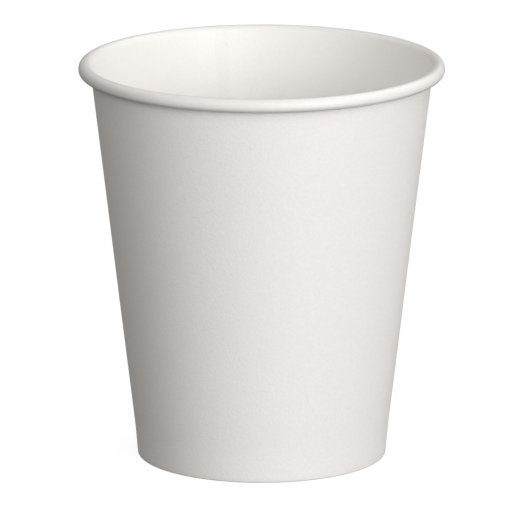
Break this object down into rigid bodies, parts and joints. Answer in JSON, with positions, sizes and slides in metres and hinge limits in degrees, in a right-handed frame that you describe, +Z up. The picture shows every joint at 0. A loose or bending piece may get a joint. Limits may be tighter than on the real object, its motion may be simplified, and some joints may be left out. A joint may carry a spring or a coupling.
{
  "type": "paper coffee cup",
  "caption": "Plain paper cup for hot drinks: lapped conical wall with a rolled rim, folded foot and a raised bottom held in the fold.",
  "frame": {"origin": "middle of the foot, on the rest plane", "axes": "+Z up along the cup's axis; the side seam is at the back, +Y, a little to the left"},
  "size_m": [0.09, 0.09, 0.0989],
  "materials": {
    "wall_paper": "smooth white coated board, faint sheen",
    "bottom_paper": "smooth white coated board, faint sheen"
  },
  "bodies": {
    "root": {"sidewall": "wall_paper", "cup_bottom": "bottom_paper"}
  },
  "joints": []
}
